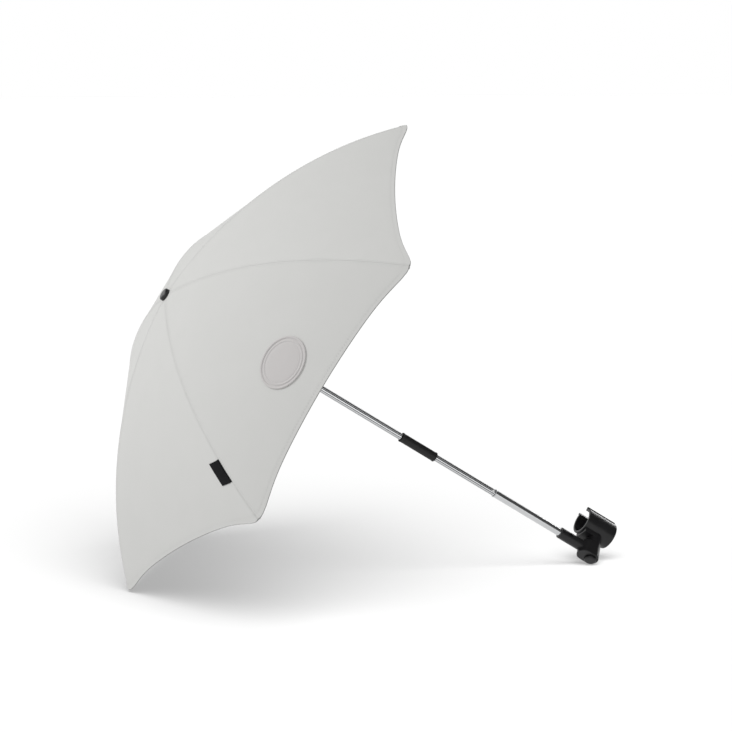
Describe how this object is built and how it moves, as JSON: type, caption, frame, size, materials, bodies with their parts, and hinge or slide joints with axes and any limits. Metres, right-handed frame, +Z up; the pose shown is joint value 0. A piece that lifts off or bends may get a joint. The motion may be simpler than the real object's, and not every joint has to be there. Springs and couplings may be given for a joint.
{
  "type": "pram parasol",
  "caption": "Folding pram parasol: curved-rib cloth canopy on a telescopic, bending pole with a swivelling spring clip for a pram's tube.",
  "frame": {"origin": "middle of the clip's bore", "axes": "+Z up as pictured, +X along the pole's run on the ground from canopy to clip, the pole lies in a plane parallel to XZ"},
  "size_m": [0.7242, 0.635, 0.6138],
  "materials": {
    "cloth": "pale grey plain weave",
    "patch_cloth": "pale grey raised patch",
    "label_cloth": "black woven tape",
    "bright_tube": "polished",
    "black_plastic": "satin moulded",
    "black_rubber": "satin",
    "steel": "zinc plated",
    "tip_plastic": "pale grey moulded"
  },
  "bodies": {
    "clip": {"clip_body": "black_plastic", "lock_ring": "black_plastic", "pivot_screw": "steel"},
    "knuckle": {"knuckle_housing": "black_plastic", "lower_tube": "bright_tube", "socket_rivet": "steel", "button_spring": "steel"},
    "button": {"push_button": "black_plastic"},
    "middle_pole": {"middle_tube": "bright_tube", "snap_catch": "steel", "slide_plug": "black_plastic", "tilt_tongue": "black_plastic", "tilt_sleeve": "black_rubber"},
    "upper_pole": {"upper_tube": "bright_tube", "tilt_fork": "black_plastic", "tilt_pin": "steel", "runner_catch": "steel", "crown_hub": "black_plastic", "crown_pins": "steel", "canopy_washer": "steel", "finial_cap": "black_plastic"},
    "runner": {"runner": "black_plastic"},
    "rib_body_1": {"rib_1": "steel", "rib_tip_1": "tip_plastic", "rib_rivet_1": "steel", "canopy_gore_1": "cloth"},
    "stretcher_body_1": {"stretcher_1": "steel"},
    "rib_body_2": {"rib_2": "steel", "rib_tip_2": "tip_plastic", "rib_rivet_2": "steel", "canopy_gore_2": "cloth"},
    "stretcher_body_2": {"stretcher_2": "steel"},
    "rib_body_3": {"rib_3": "steel", "rib_tip_3": "tip_plastic", "rib_rivet_3": "steel", "canopy_gore_3": "cloth"},
    "stretcher_body_3": {"stretcher_3": "steel"},
    "rib_body_4": {"rib_4": "steel", "rib_tip_4": "tip_plastic", "rib_rivet_4": "steel", "canopy_gore_4": "cloth"},
    "stretcher_body_4": {"stretcher_4": "steel"},
    "rib_body_5": {"rib_5": "steel", "rib_tip_5": "tip_plastic", "rib_rivet_5": "steel", "canopy_gore_5": "cloth", "patch": "patch_cloth", "label": "label_cloth"},
    "stretcher_body_5": {"stretcher_5": "steel"},
    "rib_body_6": {"rib_6": "steel", "rib_tip_6": "tip_plastic", "rib_rivet_6": "steel", "canopy_gore_6": "cloth"},
    "stretcher_body_6": {"stretcher_6": "steel"}
  },
  "joints": [
    {"name": "pole_swivel", "type": "hinge", "parent": "clip", "child": "knuckle", "pos_m": [-0.01695, -0.027, -0.02734], "axis": [0.4037, 0.6428, 0.6511], "range_deg": [-90, 90]},
    {"name": "button_press", "type": "slide", "parent": "knuckle", "child": "button", "axis": [0.4037, 0.6428, 0.6511], "range_m": [0, 0.003], "stiffness_N_per_m": 500, "springref_m": -0.003, "deforming": ["button_spring"]},
    {"name": "telescope", "type": "slide", "parent": "knuckle", "child": "middle_pole", "axis": [0.8499, 0, -0.527], "range_m": [0, 0.075], "deforming": ["snap_catch"]},
    {"name": "pole_tilt", "type": "hinge", "parent": "middle_pole", "child": "upper_pole", "pos_m": [-0.27447, -0.027, 0.13232], "axis": [0, 1, 0], "range_deg": [-70, 70], "deforming": ["tilt_sleeve"]},
    {"name": "runner_slide", "type": "slide", "parent": "upper_pole", "child": "runner", "axis": [0.8499, 0, -0.527], "range_m": [0, 0.21216], "deforming": ["canopy_gore_1", "canopy_gore_2", "canopy_gore_3", "canopy_gore_4", "canopy_gore_5", "canopy_gore_6", "patch", "label", "runner_catch"]},
    {"name": "rib_hinge_1", "type": "hinge", "parent": "upper_pole", "child": "rib_body_1", "pos_m": [-0.61588, -0.02742, 0.35694], "axis": [0.0202, 0.9993, 0.0326], "range_deg": [0, 62.06]},
    {"name": "stretcher_hinge_1", "type": "hinge", "parent": "rib_body_1", "child": "stretcher_body_1", "pos_m": [-0.51597, -0.03276, 0.45842], "axis": [0.0202, 0.9993, 0.0326], "range_deg": [-124.11, 0]},
    {"name": "rib_hinge_2", "type": "hinge", "parent": "upper_pole", "child": "rib_body_2", "pos_m": [-0.61859, -0.01769, 0.35258], "axis": [-0.4459, 0.5329, -0.7192], "range_deg": [0, 62.06]},
    {"name": "stretcher_hinge_2", "type": "hinge", "parent": "rib_body_2", "child": "stretcher_body_2", "pos_m": [-0.55284, 0.09993, 0.39897], "axis": [-0.4459, 0.5329, -0.7192], "range_deg": [-124.11, 0]},
    {"name": "rib_hinge_3", "type": "hinge", "parent": "upper_pole", "child": "rib_body_3", "pos_m": [-0.62438, -0.01727, 0.34324], "axis": [-0.4661, -0.4664, -0.7518], "range_deg": [0, 62.06]},
    {"name": "stretcher_hinge_3", "type": "hinge", "parent": "rib_body_3", "child": "stretcher_body_3", "pos_m": [-0.63182, 0.10569, 0.27158], "axis": [-0.4661, -0.4664, -0.7518], "range_deg": [-124.11, 0]},
    {"name": "rib_hinge_4", "type": "hinge", "parent": "upper_pole", "child": "rib_body_4", "pos_m": [-0.62747, -0.02657, 0.33826], "axis": [-0.0202, -0.9993, -0.0326], "range_deg": [0, 62.06]},
    {"name": "stretcher_hinge_4", "type": "hinge", "parent": "rib_body_4", "child": "stretcher_body_4", "pos_m": [-0.67394, -0.02124, 0.20364], "axis": [-0.0202, -0.9993, -0.0326], "range_deg": [-124.11, 0]},
    {"name": "rib_hinge_5", "type": "hinge", "parent": "upper_pole", "child": "rib_body_5", "pos_m": [-0.62476, -0.03631, 0.34262], "axis": [0.4459, -0.5329, 0.7192], "range_deg": [0, 62.06]},
    {"name": "stretcher_hinge_5", "type": "hinge", "parent": "rib_body_5", "child": "stretcher_body_5", "pos_m": [-0.63708, -0.15393, 0.2631], "axis": [0.4459, -0.5329, 0.7192], "range_deg": [-124.11, 0]},
    {"name": "rib_hinge_6", "type": "hinge", "parent": "upper_pole", "child": "rib_body_6", "pos_m": [-0.61897, -0.03673, 0.35196], "axis": [0.4661, 0.4664, 0.7518], "range_deg": [0, 62.06]},
    {"name": "stretcher_hinge_6", "type": "hinge", "parent": "rib_body_6", "child": "stretcher_body_6", "pos_m": [-0.55809, -0.15968, 0.39049], "axis": [0.4661, 0.4664, 0.7518], "range_deg": [-124.11, 0]}
  ],
  "couplings": [
    {"joint": "rib_hinge_1", "follows": "runner_slide", "rad_per_m": 5.1042},
    {"joint": "stretcher_hinge_1", "follows": "runner_slide", "rad_per_m": -10.208},
    {"joint": "rib_hinge_2", "follows": "runner_slide", "rad_per_m": 5.1042},
    {"joint": "stretcher_hinge_2", "follows": "runner_slide", "rad_per_m": -10.208},
    {"joint": "rib_hinge_3", "follows": "runner_slide", "rad_per_m": 5.1042},
    {"joint": "stretcher_hinge_3", "follows": "runner_slide", "rad_per_m": -10.208},
    {"joint": "rib_hinge_4", "follows": "runner_slide", "rad_per_m": 5.1042},
    {"joint": "stretcher_hinge_4", "follows": "runner_slide", "rad_per_m": -10.208},
    {"joint": "rib_hinge_5", "follows": "runner_slide", "rad_per_m": 5.1042},
    {"joint": "stretcher_hinge_5", "follows": "runner_slide", "rad_per_m": -10.208},
    {"joint": "rib_hinge_6", "follows": "runner_slide", "rad_per_m": 5.1042},
    {"joint": "stretcher_hinge_6", "follows": "runner_slide", "rad_per_m": -10.208}
  ]
}
